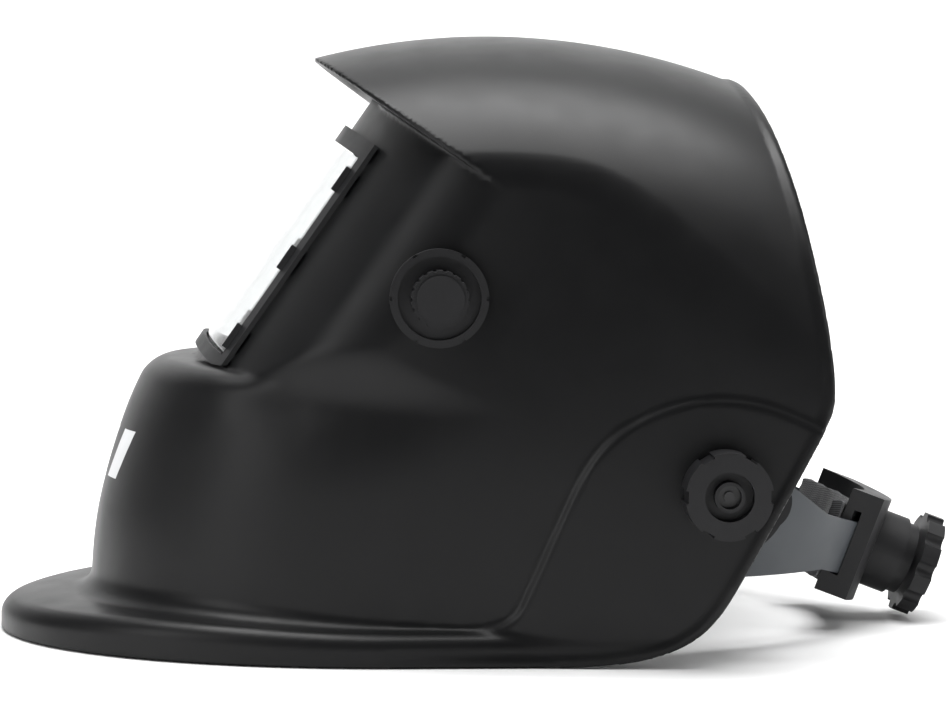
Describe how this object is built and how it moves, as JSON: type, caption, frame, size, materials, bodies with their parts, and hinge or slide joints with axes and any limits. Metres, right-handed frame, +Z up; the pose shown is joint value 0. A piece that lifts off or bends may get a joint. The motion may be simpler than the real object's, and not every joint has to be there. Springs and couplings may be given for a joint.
{
  "type": "welding helmet",
  "caption": "Auto-darkening welding helmet: matt black shell with visor, tilted lens window, side shade dial, pivoting ratchet headgear.",
  "frame": {"origin": "bottom rim plane of the shell, on the middle plane, midway between the chin lip and the rear ratchet knob", "axes": "+Z up, the helmet faces -Y, +X is the wearer's left"},
  "size_m": [0.256, 0.3579, 0.2205],
  "materials": {
    "shell_plastic": "satin black moulded nylon",
    "black_plastic": "fine textured black",
    "band_plastic": "slate grey flexible plastic",
    "clear_lens": "clear polycarbonate",
    "filter_glass": "dark green liquid crystal filter",
    "solar_cell": "dark glossy cell",
    "filter_case": "black cartridge case",
    "soft_foam": "cloth-faced foam",
    "rubber_seal": "matt black rubber",
    "steel": "plated steel"
  },
  "bodies": {
    "headgear": {"front_headband": "band_plastic", "sweatband_pad": "soft_foam", "rear_strap_left": "band_plastic", "rear_strap_right": "band_plastic", "crown_strap_front_left": "band_plastic", "crown_strap_front_right": "band_plastic", "crown_strap_rear_left": "band_plastic", "crown_strap_rear_right": "band_plastic", "crown_strap_buttons": "black_plastic", "crown_strap_rivets": "black_plastic", "ratchet_housing": "black_plastic", "ratchet_cover": "black_plastic", "ratchet_pawl_ring": "black_plastic", "nape_pad": "soft_foam", "slide_rail_left": "black_plastic", "slide_rail_right": "black_plastic"},
    "pivot_carriage": {"pivot_slider_left": "black_plastic", "pivot_slider_right": "black_plastic", "angle_stop_disc_left": "black_plastic", "angle_stop_disc_right": "black_plastic", "friction_washer_left": "black_plastic", "friction_washer_right": "black_plastic", "pivot_stud_left": "steel", "pivot_stud_right": "steel"},
    "shell": {"helmet_shell": "shell_plastic", "lens_retainer_frame": "black_plastic", "front_cover_lens": "clear_lens", "adf_holder_frame": "black_plastic", "lens_gasket": "rubber_seal", "adf_housing": "filter_case", "adf_filter_glass": "filter_glass", "adf_solar_panel": "solar_cell", "adf_arc_sensors": "solar_cell", "inner_cover_lens": "clear_lens", "holder_spring_clips": "steel", "shade_dial_ring": "black_plastic", "shade_pot_nut": "steel", "shade_pot_housing": "black_plastic", "shade_lead": "rubber_seal", "stop_pin_left": "black_plastic", "stop_pin_right": "black_plastic"},
    "shade_control": {"shade_knob": "black_plastic", "pot_shaft": "steel"},
    "sensitivity_control": {"sensitivity_knob": "black_plastic"},
    "delay_control": {"delay_knob": "black_plastic"},
    "test_control": {"test_button": "rubber_seal"},
    "tension_left": {"tension_knob_left": "black_plastic"},
    "tension_right": {"tension_knob_right": "black_plastic"},
    "ratchet_control": {"ratchet_knob": "black_plastic", "ratchet_pinion": "black_plastic", "ratchet_wheel": "black_plastic", "ratchet_screw": "steel"}
  },
  "joints": [
    {"name": "fore_aft", "type": "slide", "parent": "headgear", "child": "pivot_carriage", "axis": [0, -0.9336, 0.3584], "range_m": [-0.008, 0.008]},
    {"name": "shell_flip", "type": "hinge", "parent": "pivot_carriage", "child": "shell", "pos_m": [0, 0.0799, 0.0616], "axis": [-1, 0, 0], "range_deg": [0, 65]},
    {"name": "shade_turn", "type": "hinge", "parent": "shell", "child": "shade_control", "pos_m": [0.1, -0.0178, 0.1282], "axis": [1, 0, 0], "range_deg": [-135, 135]},
    {"name": "sensitivity_turn", "type": "hinge", "parent": "shell", "child": "sensitivity_control", "pos_m": [-0.034, -0.06456, 0.10307], "axis": [0, 0.8192, -0.5736], "range_deg": [-135, 135]},
    {"name": "delay_turn", "type": "hinge", "parent": "shell", "child": "delay_control", "pos_m": [0.034, -0.06456, 0.10307], "axis": [0, 0.8192, -0.5736], "range_deg": [-135, 135]},
    {"name": "test_press", "type": "slide", "parent": "shell", "child": "test_control", "axis": [0, -0.8192, 0.5736], "range_m": [0, 0.0015], "stiffness_N_per_m": 400, "springref_m": -0.001},
    {"name": "tension_left_turn", "type": "hinge", "parent": "pivot_carriage", "child": "tension_left", "pos_m": [0.12, 0.0799, 0.0616], "axis": [1, 0, 0], "continuous": true},
    {"name": "tension_right_turn", "type": "hinge", "parent": "pivot_carriage", "child": "tension_right", "pos_m": [-0.12, 0.0799, 0.0616], "axis": [-1, 0, 0], "continuous": true},
    {"name": "ratchet_turn", "type": "hinge", "parent": "headgear", "child": "ratchet_control", "pos_m": [0, 0.16711, 0.02107], "axis": [0, 0.9336, -0.3584], "continuous": true}
  ]
}
